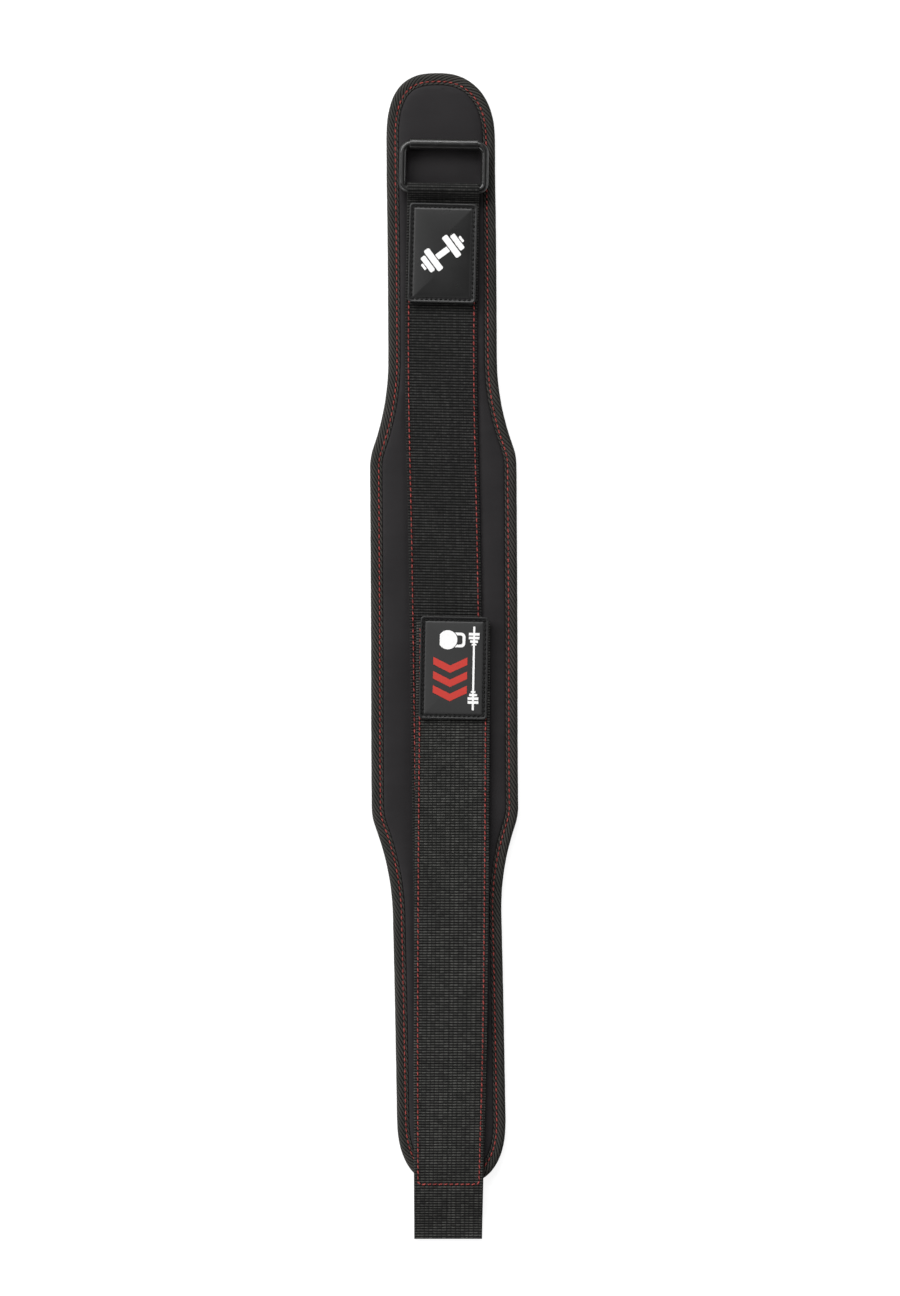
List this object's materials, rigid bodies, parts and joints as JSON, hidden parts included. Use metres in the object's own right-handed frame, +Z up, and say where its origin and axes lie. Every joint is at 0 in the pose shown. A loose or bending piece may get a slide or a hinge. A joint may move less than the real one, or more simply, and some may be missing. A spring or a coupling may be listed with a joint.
{
  "type": "weightlifting belt",
  "caption": "Padded neoprene lifting belt laid out flat, with taped rim, sewn webbing, free closing strap, moulded labels and a wire roller buckle.",
  "frame": {"origin": "middle of the base of the box round the belt as it lies, on the surface that it lies on", "axes": "+Y along the belt towards its buckle end, +X to the right seen from above with the buckle end at the top, +Z up"},
  "size_m": [0.1034, 0.8114, 0.0157],
  "materials": {
    "neoprene": "matte black neoprene with a fine smooth grain",
    "binding_tape": "matte black polyester tape with a coarse slanting twill",
    "webbing": "black woven webbing with fine cross ribs",
    "label_gloss": "black moulded patch, satin rim and a glossy middle",
    "label_matte": "dark grey moulded soft patch, matte",
    "painted_steel": "black satin paint on steel wire",
    "red_thread": "red polyester sewing thread",
    "black_thread": "black polyester sewing thread",
    "print_white": "white print",
    "print_red": "red print"
  },
  "bodies": {
    "belt": {"pad": "neoprene", "binding": "binding_tape", "base_webbing": "webbing", "strap": "webbing", "label_upper": "label_gloss", "label_lower": "label_matte"},
    "buckle": {"buckle_frame": "painted_steel"},
    "roller": {"buckle_roller": "painted_steel"}
  },
  "joints": [
    {"name": "buckle_hinge", "type": "hinge", "parent": "belt", "child": "buckle", "pos_m": [0.00335, 0.32424, 0.0111], "axis": [0.9996, -0.0297, 0], "range_deg": [0, 165]},
    {"name": "roller_spin", "type": "hinge", "parent": "buckle", "child": "roller", "pos_m": [0.00427, 0.35543, 0.0111], "axis": [0.9996, -0.0297, 0], "continuous": true}
  ]
}
